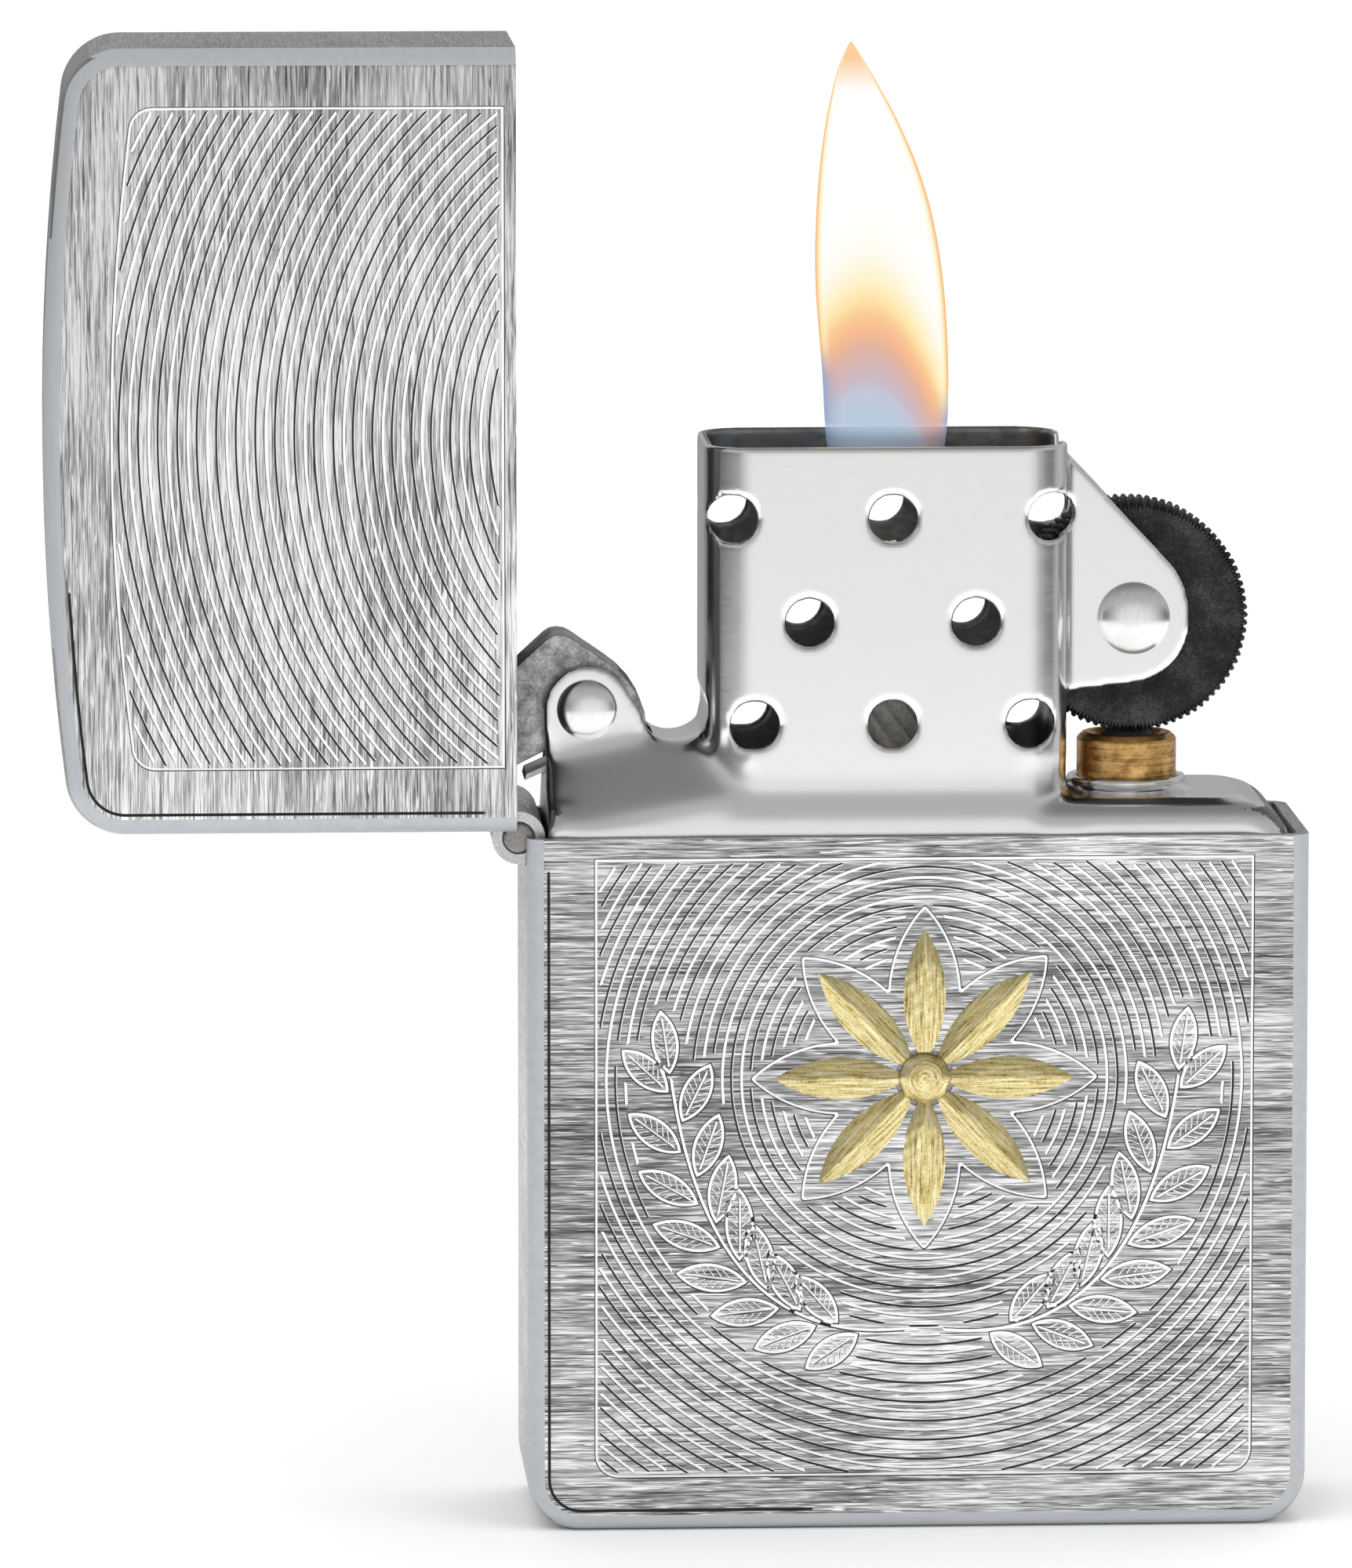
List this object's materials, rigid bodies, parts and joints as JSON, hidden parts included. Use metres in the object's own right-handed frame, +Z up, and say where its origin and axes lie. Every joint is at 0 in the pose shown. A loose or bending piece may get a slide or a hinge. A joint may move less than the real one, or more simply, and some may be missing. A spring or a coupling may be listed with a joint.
{
  "type": "flip-top petrol lighter",
  "caption": "Flip-top windproof petrol lighter with a hinged lid, a removable insert with perforated chimney, snap cam, flint wheel, wick and an engraved metal case.",
  "frame": {"origin": "centre of the case's flat resting face", "axes": "+Z up, +X towards the flint wheel (hinge on -X), +Y to the back; the engraved front face looks along -Y"},
  "size_m": [0.0615, 0.0128, 0.0725],
  "materials": {
    "case_metal": "brushed along the width, with polished engraved lines",
    "hinge_metal": "satin",
    "gilt": "pale gold, satin",
    "insert_steel": "polished stainless sheet",
    "rivet_steel": "polished",
    "cam_steel": "tumbled grey",
    "spring_steel": "satin",
    "wheel_steel": "blackened, cross-cut teeth",
    "tube_brass": "aged brass with machining lines",
    "flint_alloy": "matt",
    "wick_cotton": "braided strands",
    "wadding_cotton": "fibrous",
    "felt": "pressed felt"
  },
  "bodies": {
    "case": {"case_shell": "case_metal", "case_hinge_leaf": "hinge_metal", "hinge_pin": "hinge_metal", "gilt_inlay": "gilt"},
    "lid": {"lid_shell": "case_metal", "lid_hinge_leaf": "hinge_metal"},
    "insert": {"insert_shell": "insert_steel", "flint_tube": "tube_brass", "wheel_rivet": "rivet_steel", "cam_rivet": "rivet_steel", "cam_spring": "spring_steel", "cam_spring_rivet": "rivet_steel", "wick": "wick_cotton", "fuel_wadding": "wadding_cotton", "felt_pad": "felt", "flint_spring": "spring_steel"},
    "cam": {"cam": "cam_steel"},
    "wheel": {"flint_wheel": "wheel_steel"},
    "flint_stack": {"flint": "flint_alloy", "spring_plunger": "tube_brass"},
    "screw": {"flint_screw": "tube_brass"}
  },
  "joints": [
    {"name": "lid_hinge", "type": "hinge", "parent": "case", "child": "lid", "pos_m": [-0.01941, 0, 0.03405], "axis": [0, -1, 0], "range_deg": [-90, 10]},
    {"name": "insert_lift", "type": "slide", "parent": "case", "child": "insert", "axis": [0, 0, 1], "range_m": [0, 0.028]},
    {"name": "cam_pivot", "type": "hinge", "parent": "insert", "child": "cam", "pos_m": [-0.01597, 0, 0.03998], "axis": [0, -1, 0], "range_deg": [-99.1, 11.1], "deforming": ["cam_spring"]},
    {"name": "wheel_spin", "type": "hinge", "parent": "insert", "child": "wheel", "pos_m": [0.0107, 0, 0.0443], "axis": [0, -1, 0], "continuous": true},
    {"name": "flint_slide", "type": "slide", "parent": "insert", "child": "flint_stack", "axis": [0, 0, 1], "range_m": [-0.002, 0], "deforming": ["flint_spring"]},
    {"name": "screw_turn", "type": "hinge", "parent": "insert", "child": "screw", "pos_m": [0.0106, 0, 0.002], "axis": [0, 0, 1], "continuous": true}
  ],
  "couplings": [
    {"joint": "cam_pivot", "follows": "lid_hinge", "ratio": 1.1}
  ]
}
